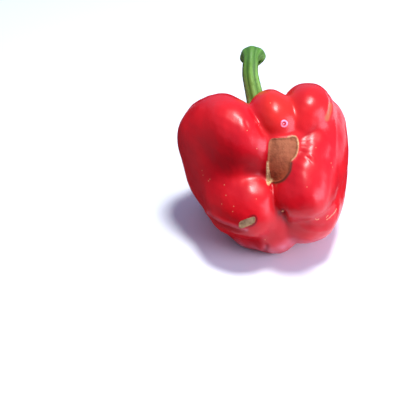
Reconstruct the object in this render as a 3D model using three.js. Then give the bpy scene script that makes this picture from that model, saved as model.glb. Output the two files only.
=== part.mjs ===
// A red bell pepper lying on its side, with its calyx and its stem.
//
// The fruit is modelled in its own frame first: x to the right, y up the blossom face and z out of
// it, in millimetres. It is then tipped back by FACE_TILT, so that it rests on its shoulders and
// its chin, with the blossom face turned up and forward (-Y) and the stem end at the back (+Y).
//
// Each lobe of the flesh is a string of round beads melted together, and the lobes are joined with
// a tighter softness, which leaves the furrows between them.
import * as THREE from "three";
import { mergeVertices } from "three/addons/utils/BufferGeometryUtils.js";

// ---------------------------------------------------------------- driving dimensions (mm)
const FACE_TILT = THREE.MathUtils.degToRad(55);
const REST_DIP = 1.0;          // how far the resting spots are pressed flat
const LOBE_SOFT = 3.0;         // melt between the beads of one lobe
const FOLD_SOFT = 0.9;         // melt between two lobes: small makes a crisp furrow
const SHOULDER_SOFT = 1.7;     // the shallow furrows between the three right lobes
const VALLEY = {               // the wide valley between the two left lobes
  outerSoft: 2.6,              // melt at its outer end
  innerSoft: 2.1,              // melt at its inner end
  ends: [-24, -7],             // x of the two ends
};
const DRAPE_SOFT = 1.8;        // the calyx bridges the furrows under it
const FLESH_DETAIL = 17;

// Beads: x, y, z and radius.
const LEFT_LOBE = [
  [-23.8, 14.4, -9, 17.9], [-25.2, 19, -8, 12.8], [-19.6, 22.2, -2, 13.4], [-21.5, 16, -1, 13.4],
  [-16.4, 19.2, 9, 12.5], [-11.6, 13.4, 12.6, 10.8], [-6.6, 9.6, 14.3, 8.3],
  [-12.5, 4.8, 7.5, 11.4], [-5.2, 4, 9.5, 8.6], [-20.8, 4.5, -3, 14], [-13, -2, 2.6, 11.4],
  [-22, -2, -6.5, 13],
];
const LEFT_CHEEK = [
  [-16.2, -12.2, -2, 13], [-23.6, -5, -7.5, 12], [-13.4, -15.8, 1, 11.2], [-12, -18.6, 6.4, 10.9],
  [-17.4, -16.6, 4.5, 6], [-14.4, -19.6, 9.2, 8], [-9.8, -20.2, 10, 11.2], [-3.4, -15.4, 12, 9.8],
  [-4.6, -22.6, 12.8, 10.8], [-17.6, -19.8, 7.8, 3], [-14.6, -22.8, 10.2, 3], [-11.2, -25.2, 12, 3],
];
const RIGHT_CROWN = [
  [22.6, 30.5, -3, 11.5], [23.2, 28.2, 7.4, 10.4], [21.5, 24.6, 11.4, 8.2], [16.2, 19.8, 13.4, 5.4],
];
const RIGHT_CHEEK = [
  [26, 17, 6, 9.6], [23.4, 6.6, 10.2, 11.6], [19.8, -6.8, 12.2, 15.2], [20.6, -15.2, 20.6, 8.7],
  [13.4, -16.6, 20.2, 7.9],
];
const RIGHT_FLANK = [
  [30.2, 22.8, -6, 11.7], [28.5, 12, 3.5, 11.2], [28.7, 0, 3.5, 11.4], [24.6, 9, -10, 19],
  [23.5, -8, -11, 19.6], [23, -19.4, -12, 16.8], [22, -21.8, 4.4, 14.9], [18.6, -23.6, 4, 10.4],
];
const FOLDED_LOBES = {
  chinLeft: [[-11.6, -22.2, -5, 11.8], [-3.4, -29.2, -5, 11.7], [-3, -20, 10, 10]],
  chinRight: [[4.2, -28.6, -3, 13.5], [8.2, -31.8, -2, 8.8], [3, -23, 5, 12], [-3, -20, 10, 10]],
  foot: [[-10, -19, -16, 15]],
  crownBud: [[3.8, 28.8, 1, 9.1], [3.8, 25.4, 9.8, 9.8], [6.6, 20.4, 13.6, 9.2]],
  scarBed: [
    [6, 11, 8, 12], [12, 8.6, 7.4, 12], [7.5, 2, 8, 11.5], [12, 4, 8, 12], [8.5, -3, 6.5, 10.5],
  ],
  backLeft: [[-18, 10, -22, 18], [-15, -6, -30.2, 18]],
  backRight: [[20, 12, -24, 17], [19, -8, -26, 18.6]],
  core: [[0, -2, -8, 22]],
};
const HEART = new THREE.Vector3(2, 0, 0);      // every point of the skin is seen from here
const REACH = 75;                              // farther than any point of the skin

// The stem end: a shallow cavity at the back, facing SEAT_NORMAL.
const SEAT = new THREE.Vector3(0, 21.4, -14.4);
const SEAT_NORMAL = new THREE.Vector3(0, 0.88, -0.47).normalize();
const CALYX = {
  radius: 8.4, lobeReach: 1.7, lobes: 6, gap: 0.55, thickness: 1.1, thinnest: 0.5, hub: 5.2,
  hubRise: 0.8,
};
const STEM = {
  footRadius: 4.7,             // on the calyx
  neckRadius: 4.0,             // from neckShare of its length on
  tipRadius: 6.2,              // at the cut
  neckShare: 0.7,
  flareShares: [0.8, 0.97],    // where it widens to the cut
  ovalShare: 0.86,             // the cut's height over its width
  knob: 0.2,                   // how much farther the cut swells on its +X side
  ridges: 7,
  ridgeDepth: 0.04,
  gap: 0.3,
};
const STEM_PATH = [
  [-1.7, 34, -19], [-3.3, 41, -17.6], [-4.9, 48.5, -15.8], [-4.8, 54.6, -15.6],
  [-4.3, 58.7, -18.6], [-3.6, 58.4, -22.8],
];

// ---------------------------------------------------------------- materials
const SKIN = new THREE.MeshStandardMaterial({ color: 0xb80f14, roughness: 0.25, metalness: 0 });
const CALYX_GREEN = new THREE.MeshStandardMaterial({ color: 0x4f8a2c, roughness: 0.6, metalness: 0 });
const STEM_GREEN = new THREE.MeshStandardMaterial({ color: 0x669544, roughness: 0.55, metalness: 0 });

// ---------------------------------------------------------------- the flesh as a distance field
/** Smooth minimum of the given values; the softness is in the same unit. */
function softMin(values, softness) {
  const low = Math.min(...values);
  const sum = values.reduce((total, value) => total + Math.exp((low - value) / softness), 0);
  return low - softness * Math.log(sum);
}

/** Distance from a point to one string of melted beads. */
function beadDistance(beads, p) {
  return softMin(beads.map(([x, y, z, r]) => Math.hypot(p.x - x, p.y - y, p.z - z) - r), LOBE_SOFT);
}

/** Distance from a point of the fruit's frame to the skin, negative inside. */
function fleshDistance(p, foldSoft = FOLD_SOFT) {
  const inward = THREE.MathUtils.smoothstep(p.x, ...VALLEY.ends);
  const valleySoft = THREE.MathUtils.lerp(VALLEY.outerSoft, VALLEY.innerSoft, inward);
  const left = softMin([LEFT_LOBE, LEFT_CHEEK].map((beads) => beadDistance(beads, p)), valleySoft);
  const right = softMin(
    [RIGHT_CROWN, RIGHT_CHEEK, RIGHT_FLANK].map((beads) => beadDistance(beads, p)), SHOULDER_SOFT,
  );
  const others = Object.values(FOLDED_LOBES).map((beads) => beadDistance(beads, p));
  return softMin([left, right, ...others], foldSoft);
}

/** Walks from start along direction until the skin is met, and returns the distance walked. */
function march(start, direction, foldSoft = FOLD_SOFT) {
  const p = start.clone();
  let walked = 0;
  for (let i = 0; i < 80; i += 1) {
    const gap = fleshDistance(p, foldSoft);
    if (Math.abs(gap) < 0.005) break;
    walked += 0.95 * gap;
    p.copy(start).addScaledVector(direction, walked);
  }
  return walked;
}

/** Welds a geometry down to shared positions, so that it is one closed shell. */
function weld(geometry) {
  geometry.deleteAttribute("normal");
  geometry.deleteAttribute("uv");
  return mergeVertices(geometry, 1e-4);
}

/** Applies a function to every vertex in place and refreshes the normals. */
function reshape(geometry, place) {
  const position = geometry.attributes.position;
  const p = new THREE.Vector3();
  for (let i = 0; i < position.count; i += 1) {
    p.fromBufferAttribute(position, i);
    place(p);
    position.setXYZ(i, p.x, p.y, p.z);
  }
  geometry.computeVertexNormals();
  return geometry;
}

/** The fruit body: a sphere shrunk onto the skin along its own rays. */
function fleshGeometry() {
  const sphere = weld(new THREE.IcosahedronGeometry(1, FLESH_DETAIL));
  return reshape(sphere, (p) => {
    const ray = p.clone().normalize();
    const far = HEART.clone().addScaledVector(ray, REACH);
    p.copy(far).addScaledVector(ray, -march(far, ray.clone().negate()));
  });
}

// ---------------------------------------------------------------- calyx and stem
/** Right-handed frame of the stem end: side, other and the seat's normal. */
function seatFrame() {
  const side = new THREE.Vector3(1, 0, 0);
  const other = new THREE.Vector3().crossVectors(SEAT_NORMAL, side).normalize();
  return { side, other };
}

/** Height of the skin over the seat plane, at an offset across it. */
function seatHeight(across, along, foldSoft) {
  const { side, other } = seatFrame();
  const high = 30;
  const start = SEAT.clone().addScaledVector(side, across).addScaledVector(other, along)
    .addScaledVector(SEAT_NORMAL, high);
  return high - march(start, SEAT_NORMAL.clone().negate(), foldSoft);
}

/** Height of the calyx's flat hub over the seat plane: just clear of the skin all round it. */
function hubHeight() {
  let high = seatHeight(0, 0, DRAPE_SOFT);
  for (let i = 0; i < 24; i += 1) {
    const angle = (i / 24) * 2 * Math.PI;
    const [across, along] = [CALYX.hub * Math.cos(angle), CALYX.hub * Math.sin(angle)];
    high = Math.max(high, seatHeight(across, along, DRAPE_SOFT));
  }
  return high + CALYX.gap + CALYX.hubRise;
}

/** The calyx: a lobed disc draped over the bottom of the cavity, with a flat hub for the stem. */
function calyxGeometry() {
  const rings = [0, 0.3, 0.6, 0.7, 0.82, 0.93, 1];
  const upper = rings.map((r) => new THREE.Vector2(r, 1));
  const lower = rings.slice().reverse().map((r) => new THREE.Vector2(r, -1));
  const disc = weld(new THREE.LatheGeometry([...upper, ...lower].reverse(), 48));
  const { side, other } = seatFrame();
  const hub = hubHeight();
  return reshape(disc, (p) => {
    const top = p.y > 0;
    const share = Math.hypot(p.x, p.z);
    const angle = Math.atan2(p.z, p.x);
    const lobe = 0.5 + 0.5 * Math.cos(CALYX.lobes * angle + 0.5);
    const reach = share * (CALYX.radius + CALYX.lobeReach * share * share * (lobe - 0.35));
    const across = reach * Math.cos(angle);
    const along = -reach * Math.sin(angle);
    const skin = seatHeight(across, along, DRAPE_SOFT) + CALYX.gap;
    const onHub = 1 - THREE.MathUtils.smoothstep(reach, CALYX.hub, CALYX.radius);
    const leaf = THREE.MathUtils.lerp(skin + CALYX.thickness, hub, onHub);
    const height = top ? Math.max(leaf, skin + CALYX.thinnest) : skin;
    p.copy(SEAT).addScaledVector(side, across).addScaledVector(other, along)
      .addScaledVector(SEAT_NORMAL, height);
  });
}

/** Radius of the stem at a share of its length: it narrows from the calyx and flares at the cut. */
function stemRadius(share, swell) {
  const narrowed = Math.min(1, share / STEM.neckShare);
  const body = THREE.MathUtils.lerp(STEM.footRadius, STEM.neckRadius, narrowed);
  return body + (STEM.tipRadius - STEM.neckRadius) * swell;
}

/** The stem: a ridged rod bent along its path, from the calyx's hub to the cut tip. */
function stemGeometry() {
  const base = SEAT.clone().addScaledVector(SEAT_NORMAL, hubHeight() + STEM.gap);
  const lead = base.clone().addScaledVector(SEAT_NORMAL, 2);
  const path = new THREE.CatmullRomCurve3(
    [base, lead, ...STEM_PATH.map((point) => new THREE.Vector3(...point))],
  );
  const rows = 22;
  const rod = [new THREE.Vector2(0, 0)];
  for (let i = 0; i <= rows; i += 1) rod.push(new THREE.Vector2(1, i / rows));
  rod.push(new THREE.Vector2(0.55, 1), new THREE.Vector2(0, 1));
  const lathe = weld(new THREE.LatheGeometry(rod, 30));
  return reshape(lathe, (p) => {
    const share = p.y;
    const reach = Math.hypot(p.x, p.z);
    const angle = Math.atan2(p.z, p.x);
    const tangent = share === 0 ? SEAT_NORMAL.clone() : path.getTangentAt(share);
    const side = new THREE.Vector3(1, 0, 0).addScaledVector(tangent, -tangent.x).normalize();
    const other = new THREE.Vector3().crossVectors(side, tangent);
    const swell = THREE.MathUtils.smoothstep(share, ...STEM.flareShares);
    const knob = 1 + STEM.knob * swell * Math.exp(-(angle * angle));
    const ridge = 1 + STEM.ridgeDepth * Math.cos(STEM.ridges * angle);
    const radius = reach * stemRadius(share, swell) * knob * ridge;
    const oval = THREE.MathUtils.lerp(1, STEM.ovalShare, swell);
    p.copy(path.getPointAt(share)).addScaledVector(side, radius * Math.cos(angle))
      .addScaledVector(other, oval * radius * Math.sin(angle));
  });
}

// ---------------------------------------------------------------- assembly
/** Tips a geometry from the fruit's frame into the resting pose. */
function tip(geometry) {
  return geometry.rotateX(FACE_TILT);
}

/** Adds one named mesh to the group. */
function addMesh(group, name, geometry, material) {
  const mesh = new THREE.Mesh(geometry, material);
  mesh.name = name;
  group.add(mesh);
  return mesh;
}

const group = new THREE.Group();
group.name = "bell_pepper";

const flesh = tip(fleshGeometry());
flesh.computeBoundingBox();
const floor = flesh.boundingBox.min.z + REST_DIP;
for (const [name, geometry, material] of [
  ["flesh", flesh, SKIN],
  ["calyx", tip(calyxGeometry()), CALYX_GREEN],
  ["stem", tip(stemGeometry()), STEM_GREEN],
]) {
  geometry.translate(0, 0, -floor);
  addMesh(group, name, reshape(geometry, (p) => { p.z = Math.max(p.z, 0); }), material);
}

// The origin is the middle of the bottom of the whole object's box.
const middle = new THREE.Box3().setFromObject(group).getCenter(new THREE.Vector3());
for (const mesh of group.children) mesh.geometry.translate(-middle.x, -middle.y, 0);

export default group;
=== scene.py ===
"""A red bell pepper lying on its side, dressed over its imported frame.

The fruit is shaped in its own frame first, in millimetres: x to the right, y up the blossom face
and z out of it. FruitFrame then tips it back onto its shoulders and chin and seats it on the box
of the flesh. Every lobe is a string of round beads melted together.
"""

import logging
import math
from dataclasses import dataclass
from enum import Enum
from typing import Sequence

import bpy
import numpy as np
from mathutils import Matrix, Vector


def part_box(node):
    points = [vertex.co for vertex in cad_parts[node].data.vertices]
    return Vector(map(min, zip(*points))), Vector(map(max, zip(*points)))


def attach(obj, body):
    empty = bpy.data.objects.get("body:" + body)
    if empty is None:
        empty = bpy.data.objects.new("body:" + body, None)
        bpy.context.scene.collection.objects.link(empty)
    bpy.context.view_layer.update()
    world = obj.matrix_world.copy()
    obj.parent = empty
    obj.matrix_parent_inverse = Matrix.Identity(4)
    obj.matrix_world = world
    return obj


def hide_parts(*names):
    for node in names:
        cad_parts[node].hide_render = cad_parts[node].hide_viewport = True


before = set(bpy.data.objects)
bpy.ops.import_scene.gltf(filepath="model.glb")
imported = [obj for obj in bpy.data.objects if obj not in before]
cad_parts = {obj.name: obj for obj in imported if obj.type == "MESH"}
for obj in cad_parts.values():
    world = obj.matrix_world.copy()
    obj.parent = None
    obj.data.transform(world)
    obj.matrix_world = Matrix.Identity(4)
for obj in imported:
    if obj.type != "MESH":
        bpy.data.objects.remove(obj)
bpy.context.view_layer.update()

LOG = logging.getLogger("bell_pepper")
MM = 0.001
BODY = "root"

Band = tuple[float, float]
Beads = tuple[tuple[float, float, float, float], ...]
Color = tuple[float, float, float]
Place = tuple[float, float, float]
Spot = tuple[float, float]
Outline = tuple[Spot, ...]
Noise = tuple[float, float, float]


class Mark(Enum):
    """Features of the surface that are kept on the mesh; their lengths are in millimetres."""

    SCAR = "scar"
    SCAR_RIM = "scar_rim"
    SCAR_SHADE = "scar_shade"
    SCAR_LIFT = "scar_lift"
    NICK = "nick"
    NICK_SHADE = "nick_shade"
    PIT = "pit"
    # painted shade along the creases
    CREASE = "crease"
    DIMPLE = "dimple"
    FLECK = "fleck"
    SCRATCH = "scratch"
    RUST = "rust"
    BLUSH = "blush"
    # painted sheen: the white table's reflection
    BLOOM = "painted_sheen"
    # ridge pattern, and on the stem also painted light: lighter at the foot, darker at the top
    RIDGE_AND_LIGHT = "ridge"
    DRY = "dry"
    FIBRE = "fibre"


class Slot(Enum):
    """Material slots of the record."""

    SKIN = "red_skin"
    CALYX = "green_calyx"
    STEM = "green_stem"


# ------------------------------------------------------------------------------ small maths
def soft_min(values: np.ndarray, softness: float | np.ndarray) -> np.ndarray:
    """Melt the first axis of an array into its smooth minimum.

    Args:
        values: Distances, one row for each thing that is melted.
        softness: Width of the melt, in the same unit.

    Returns:
        The smooth minimum over the first axis.
    """
    low = values.min(axis=0)
    return low - softness * np.log(np.exp(-(values - low) / softness).sum(axis=0))


def smooth_step(value: np.ndarray | float, none: float, full: float) -> np.ndarray:
    """Return an S-curve that is 0 up to one value and 1 from the other on, either way round."""
    share = np.clip((value - none) / (full - none), 0.0, 1.0)
    return share * share * (3.0 - 2.0 * share)


def bell(distance: np.ndarray, width: float) -> np.ndarray:
    """Return a bell curve of 1 at no distance that fades over the given width."""
    return np.exp(-((distance / width) ** 2))


def turns(count: int) -> np.ndarray:
    """Return the angles of even steps around a full turn."""
    return np.linspace(0.0, 2.0 * math.pi, count, endpoint=False)


def wrapped(angle: np.ndarray) -> np.ndarray:
    """Return angles brought to within half a turn of zero."""
    return np.angle(np.exp(1j * angle))


def unit(rows: np.ndarray) -> np.ndarray:
    """Return each row at a length of one."""
    return rows / np.linalg.norm(rows, axis=1, keepdims=True)


def waves(points: np.ndarray, length: float, seed: int, count: int = 14) -> np.ndarray:
    """Return a smooth unevenness of about -1 to 1, made of crossing waves.

    Args:
        points: Positions in millimetres, one row each.
        length: Typical length of a swell, in millimetres.
        seed: Which unevenness is meant; the same seed gives the same one.
        count: How many waves are crossed.

    Returns:
        One value for each point.
    """
    dice = np.random.default_rng(seed)
    heading = unit(dice.normal(size=(count, 3)))
    pace = 2.0 * math.pi / (length * dice.uniform(0.7, 1.5, size=(count, 1)))
    phase = dice.uniform(0.0, 2.0 * math.pi, size=count)
    return np.sin(points @ (heading * pace).T + phase).sum(axis=1) / math.sqrt(count)


def bend(
    a: np.ndarray, b: np.ndarray, c: np.ndarray, d: np.ndarray, share: np.ndarray | float
) -> np.ndarray:
    """Return the point at a share of the way from b to c, on a smooth curve through all four."""
    curve = 2 * b + (c - a) * share + (2 * a - 5 * b + 4 * c - d) * share**2
    return (curve + (3 * b - a - 3 * c + d) * share**3) / 2.0


def rounded(outline: Outline, steps: int = 5) -> np.ndarray:
    """Run a smooth closed curve through the corners of an outline.

    Args:
        outline: Corners of the outline in millimetres.
        steps: Points on the curve for each corner.

    Returns:
        Points of the curve, one row each.
    """
    b = np.array(outline, float)
    a, c, d = np.roll(b, 1, axis=0), np.roll(b, -1, axis=0), np.roll(b, -2, axis=0)
    share = np.arange(steps)[None, :, None] / steps
    a, b, c, d = (knots[:, None, :] for knots in (a, b, c, d))
    return bend(a, b, c, d, share).reshape(-1, 2)


def to_spot(points: np.ndarray, spot: Spot) -> np.ndarray:
    """Return the distance to a spot on the blossom face."""
    return np.hypot(points[:, 0] - spot[0], points[:, 1] - spot[1])


def to_span(
    flat: np.ndarray, start: np.ndarray, end: np.ndarray
) -> tuple[np.ndarray, np.ndarray]:
    """Return the distance to a straight span, and the share of it at which it is met.

    Args:
        flat: Positions on the blossom face, one row each.
        start: Start of the span.
        end: End of the span.

    Returns:
        The distances, and the shares from 0 to 1.
    """
    edge = end - start
    share = np.clip(((flat - start) @ edge) / (edge @ edge), 0.0, 1.0)
    return np.linalg.norm(flat - start - share[:, None] * edge, axis=1), share


def to_outline(points: np.ndarray, outline: Outline) -> np.ndarray:
    """Measure the signed distance to a closed outline on the blossom face.

    Args:
        points: Positions in the fruit's frame; only x and y count.
        outline: Corners of the outline in millimetres.

    Returns:
        Distances in millimetres, negative inside.
    """
    flat = points[:, :2]
    corners = rounded(outline)
    nearest = np.full(len(flat), np.inf)
    inside = np.zeros(len(flat), bool)
    for start, end in zip(corners, np.roll(corners, -1, axis=0)):
        nearest = np.minimum(nearest, to_span(flat, start, end)[0])
        crosses = (start[1] > flat[:, 1]) != (end[1] > flat[:, 1])
        with np.errstate(divide="ignore", invalid="ignore"):
            share = (flat[:, 1] - start[1]) / (end[1] - start[1])
            at = start[0] + share * (end[0] - start[0])
        inside ^= crosses & (flat[:, 0] < at)
    return np.where(inside, -nearest, nearest)


def to_line(points: np.ndarray, line: Outline) -> tuple[np.ndarray, np.ndarray]:
    """Measure the distance to an open line on the blossom face.

    Args:
        points: Positions in the fruit's frame; only x and y count.
        line: Points of the line in millimetres.

    Returns:
        The distance in millimetres, and how far along the line it is met, from 0 to 1.
    """
    flat = points[:, :2]
    knots = np.array(line, float)
    lengths = np.linalg.norm(np.diff(knots, axis=0), axis=1)
    nearest = np.full(len(flat), np.inf)
    along = np.zeros(len(flat))
    walked = 0.0
    for start, end, length in zip(knots[:-1], knots[1:], lengths):
        gap, share = to_span(flat, start, end)
        closer = gap < nearest
        nearest = np.where(closer, gap, nearest)
        along = np.where(closer, (walked + share * length) / lengths.sum(), along)
        walked += length
    return nearest, along


# ------------------------------------------------------------------------------ the fruit's form
@dataclass(frozen=True)
class Lobes:
    """The lobes of the fruit as melted beads of x, y, z and radius, in millimetres.

    The left lobe and cheek melt by valley_soft at the two values of x in valley_ends. A march
    ends when its step is under march_stop, or after march_steps.
    """

    left_lobe: Beads = (
        (-23.8, 14.4, -9, 17.9), (-25.2, 19, -8, 12.8), (-19.6, 22.2, -2, 13.4),
        (-21.5, 16, -1, 13.4), (-16.4, 19.2, 9, 12.5), (-11.6, 13.4, 12.6, 10.8),
        (-6.6, 9.6, 14.3, 8.3), (-12.5, 4.8, 7.5, 11.4), (-5.2, 4, 9.5, 8.6), (-20.8, 4.5, -3, 14),
        (-13, -2, 2.6, 11.4), (-22, -2, -6.5, 13),
    )
    left_cheek: Beads = (
        (-16.2, -12.2, -2, 13), (-23.6, -5, -7.5, 12), (-13.4, -15.8, 1, 11.2),
        (-12, -18.6, 6.4, 10.9), (-17.4, -16.6, 4.5, 6), (-14.4, -19.6, 9.2, 8),
        (-9.8, -20.2, 10, 11.2), (-3.4, -15.4, 12, 9.8), (-4.6, -22.6, 12.8, 10.8),
        (-17.6, -19.8, 7.8, 3), (-14.6, -22.8, 10.2, 3), (-11.2, -25.2, 12, 3),
    )
    right_crown: Beads = (
        (22.6, 30.5, -3, 11.5), (23.2, 28.2, 7.4, 10.4), (21.5, 24.6, 11.4, 8.2),
        (16.2, 19.8, 13.4, 5.4),
    )
    right_cheek: Beads = (
        (26, 17, 6, 9.6), (23.4, 6.6, 10.2, 11.6), (19.8, -6.8, 12.2, 15.2),
        (20.6, -15.2, 20.6, 8.7), (13.4, -16.6, 20.2, 7.9),
    )
    right_flank: Beads = (
        (30.2, 22.8, -6, 11.7), (28.5, 12, 3.5, 11.2), (28.7, 0, 3.5, 11.4), (24.6, 9, -10, 19),
        (23.5, -8, -11, 19.6), (23, -19.4, -12, 16.8),
        (22, -21.8, 4.4, 14.9), (18.6, -23.6, 4, 10.4),
    )
    folded: tuple[Beads, ...] = (
        ((-11.6, -22.2, -5, 11.8), (-3.4, -29.2, -5, 11.7), (-3, -20, 10, 10)),
        ((4.2, -28.6, -3, 13.5), (8.2, -31.8, -2, 8.8), (3, -23, 5, 12), (-3, -20, 10, 10)),
        ((-10, -19, -16, 15),),
        ((3.8, 28.8, 1, 9.1), (3.8, 25.4, 9.8, 9.8), (6.6, 20.4, 13.6, 9.2)),
        ((6, 11, 8, 12), (12, 8.6, 7.4, 12), (7.5, 2, 8, 11.5), (12, 4, 8, 12),
         (8.5, -3, 6.5, 10.5)),
        ((-18, 10, -22, 18), (-15, -6, -30.2, 18)),
        ((20, 12, -24, 17), (19, -8, -26, 18.6)),
        ((0, -2, -8, 22),),
    )
    lobe_soft: float = 3.0
    fold_soft: float = 0.9
    valley_soft: Band = (2.6, 2.1)
    valley_ends: Band = (-24.0, -7.0)
    shoulder_soft: float = 1.7
    march_steps: int = 90
    march_pace: float = 0.95
    march_stop: float = 0.004

    def _string(self, beads: Beads, points: np.ndarray) -> np.ndarray:
        """Return the distance from each point to one string of beads.

        Args:
            beads: The beads of the string.
            points: Positions in the fruit's frame, one row each.

        Returns:
            Distances in millimetres.
        """
        ball = np.array(beads, float)
        square = (
            (points**2).sum(axis=1)[None, :]
            - 2.0 * ball[:, :3] @ points.T
            + (ball[:, :3] ** 2).sum(axis=1)[:, None]
        )
        return soft_min(np.sqrt(np.maximum(square, 0.0)) - ball[:, 3:], self.lobe_soft)

    def distance(self, points: np.ndarray, fold_soft: float | None = None) -> np.ndarray:
        """Measure the distance to the skin.

        Args:
            points: Positions in the fruit's frame, one row each.
            fold_soft: Melt between the lobes, if not the fruit's own.

        Returns:
            Distances in millimetres, negative inside.
        """
        tight = smooth_step(points[:, 0], *self.valley_ends)
        valley = self.valley_soft[0] + (self.valley_soft[1] - self.valley_soft[0]) * tight
        halves = [
            soft_min(np.array([self._string(beads, points) for beads in lobes]), softness)
            for lobes, softness in (
                ((self.left_lobe, self.left_cheek), valley),
                ((self.right_crown, self.right_cheek, self.right_flank), self.shoulder_soft),
            )
        ]
        rest = [self._string(beads, points) for beads in self.folded]
        return soft_min(np.array([*halves, *rest]), fold_soft or self.fold_soft)

    def gradient(self, points: np.ndarray, reach: float = 0.05) -> np.ndarray:
        """Return the uphill direction of the distance at each point.

        Args:
            points: Positions in the fruit's frame, one row each.
            reach: How far off it is measured, in millimetres.

        Returns:
            One direction for each point.
        """
        corners = np.array([[1, -1, -1], [-1, -1, 1], [-1, 1, -1], [1, 1, 1]], float)
        total = sum(c * self.distance(points + reach * c)[:, None] for c in corners)
        return total / (4.0 * reach)

    def march(
        self, starts: np.ndarray, heading: np.ndarray, fold_soft: float | None = None
    ) -> np.ndarray:
        """Walk from the starts along the headings until the skin is met.

        Args:
            starts: Positions outside the fruit, one row each.
            heading: Unit directions, one row each.
            fold_soft: Melt between the lobes, if not the fruit's own.

        Returns:
            The distance walked from each start, in millimetres.
        """
        walked = np.zeros(len(starts))
        open_rows = np.arange(len(starts))
        for _ in range(self.march_steps):
            here = starts[open_rows] + heading[open_rows] * walked[open_rows, None]
            gap = self.distance(here, fold_soft)
            walked[open_rows] += self.march_pace * gap
            open_rows = open_rows[np.abs(gap) > self.march_stop]
            if not len(open_rows):
                break
        return walked


@dataclass(frozen=True)
class FruitFrame:
    """The step from the fruit's own frame in millimetres to the row's frame in metres."""

    tilt: float = math.radians(55.0)
    shift: tuple[float, float, float] = (0.0, 0.0, 0.0)

    def turned(self, points: np.ndarray) -> np.ndarray:
        """Tip points or directions back by the tilt.

        Args:
            points: Points or directions in the fruit's frame, one row each.

        Returns:
            The same ones after the turn, one row each.
        """
        cos, sin = math.cos(self.tilt), math.sin(self.tilt)
        x, y, z = points[:, 0], points[:, 1], points[:, 2]
        return np.stack([x, y * cos - z * sin, y * sin + z * cos], axis=1)

    def placed(self, points: np.ndarray) -> np.ndarray:
        """Return the row positions in metres of points in the fruit's frame."""
        return (self.turned(points) + np.array(self.shift)) * MM

    def seated_on(self, points: np.ndarray, node: str, dip: float) -> "FruitFrame":
        """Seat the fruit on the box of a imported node.

        Args:
            points: Skin points in the fruit's frame.
            node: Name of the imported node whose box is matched.
            dip: How far the lowest point is pressed into the table, in millimetres.

        Returns:
            The same frame with the shift that centres the points on the node's box.
        """
        low, high = (np.array(corner, float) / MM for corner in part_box(node))
        turned = self.turned(points)
        shift = (low + high) / 2.0 - (turned.min(axis=0) + turned.max(axis=0)) / 2.0
        shift[2] = low[2] - turned[:, 2].min() - dip
        return FruitFrame(self.tilt, tuple(float(v) for v in shift))


# ------------------------------------------------------------------------------ mesh tools
def quad_sphere(edge_quads: int) -> tuple[np.ndarray, np.ndarray]:
    """Blow a cube of quads up to a ball.

    Args:
        edge_quads: Quads along each edge of the cube.

    Returns:
        Unit directions, one row each, and quads of their row numbers, facing out.
    """
    index: dict[tuple[int, int, int], int] = {}
    quads: list[list[int]] = []

    def corner(cell: tuple[int, int, int]) -> int:
        """Return the number of a lattice corner, adding it when it is new."""
        return index.setdefault(cell, len(index))

    for axis in range(3):
        u, v = (axis + 1) % 3, (axis + 2) % 3
        for side in (0, edge_quads):
            for i in range(edge_quads):
                for j in range(edge_quads):
                    quad = []
                    for a, b in ((0, 0), (1, 0), (1, 1), (0, 1)):
                        cell = [0, 0, 0]
                        cell[axis], cell[u], cell[v] = side, i + a, j + b
                        quad.append(corner((cell[0], cell[1], cell[2])))
                    quads.append(quad if side else quad[::-1])
    lattice = np.array(list(index), float)
    spread = np.tan((lattice / edge_quads * 2.0 - 1.0) * math.pi / 4.0)
    return unit(spread), np.array(quads)


def add_piece(
    name: str, points: np.ndarray, faces: Sequence[Sequence[int]], marks: dict[Mark, np.ndarray]
) -> bpy.types.Object:
    """Make a smooth mesh object.

    Args:
        name: Name of the piece.
        points: Positions in metres, in the row's frame.
        faces: Corner numbers of each face.
        marks: Values or vectors kept at the points.

    Returns:
        The new object.
    """
    mesh = bpy.data.meshes.new(name)
    mesh.from_pydata(points.tolist(), [], [list(map(int, face)) for face in faces])
    mesh.shade_smooth()
    for mark, values in marks.items():
        kept = np.asarray(values, np.float32)
        kind, key = ("FLOAT", "value") if kept.ndim == 1 else ("FLOAT_VECTOR", "vector")
        mesh.attributes.new(mark.value, kind, "POINT").data.foreach_set(key, kept.ravel())
    piece = bpy.data.objects.new(name, mesh)
    bpy.context.scene.collection.objects.link(piece)
    return piece


def tube_faces(rings: int, columns: int, flipped: bool = False) -> list[list[int]]:
    """Join rings of points into a tube with a cap at each end.

    Args:
        rings: How many rings there are.
        columns: Points in each ring.
        flipped: Whether the faces look to the other side.

    Returns:
        Corner numbers of each face.
    """
    faces: list[list[int]] = []
    for ring in range(rings - 1):
        a, b = ring * columns, (ring + 1) * columns
        for c in range(columns):
            d = (c + 1) % columns
            faces.append([a + c, b + c, b + d, a + d] if flipped else [a + c, a + d, b + d, b + c])
    first = list(range(columns))
    last = [(rings - 1) * columns + c for c in first]
    return faces + ([first, last[::-1]] if flipped else [first[::-1], last])


def fibre_marks(angle: np.ndarray, run: np.ndarray, around: float = 9.0) -> np.ndarray:
    """Return the vectors that draw lengthwise fibres around an axis, this many to its radius."""
    return np.stack([around * np.cos(angle), around * np.sin(angle), run], axis=1)


def add_sheet(
    name: str, corners: Sequence[Sequence[float]], material: bpy.types.Material
) -> bpy.types.Object:
    """Make a flat sheet for the stage out of its corners in metres.

    Args:
        name: Name of the sheet.
        corners: Its corners, in order around it.
        material: What it is made of.

    Returns:
        The new object.
    """
    mesh = bpy.data.meshes.new(name)
    mesh.from_pydata(corners, [], [list(range(len(corners)))])
    mesh.materials.append(material)
    sheet = bpy.data.objects.new(name, mesh)
    bpy.context.scene.collection.objects.link(sheet)
    return sheet


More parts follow.
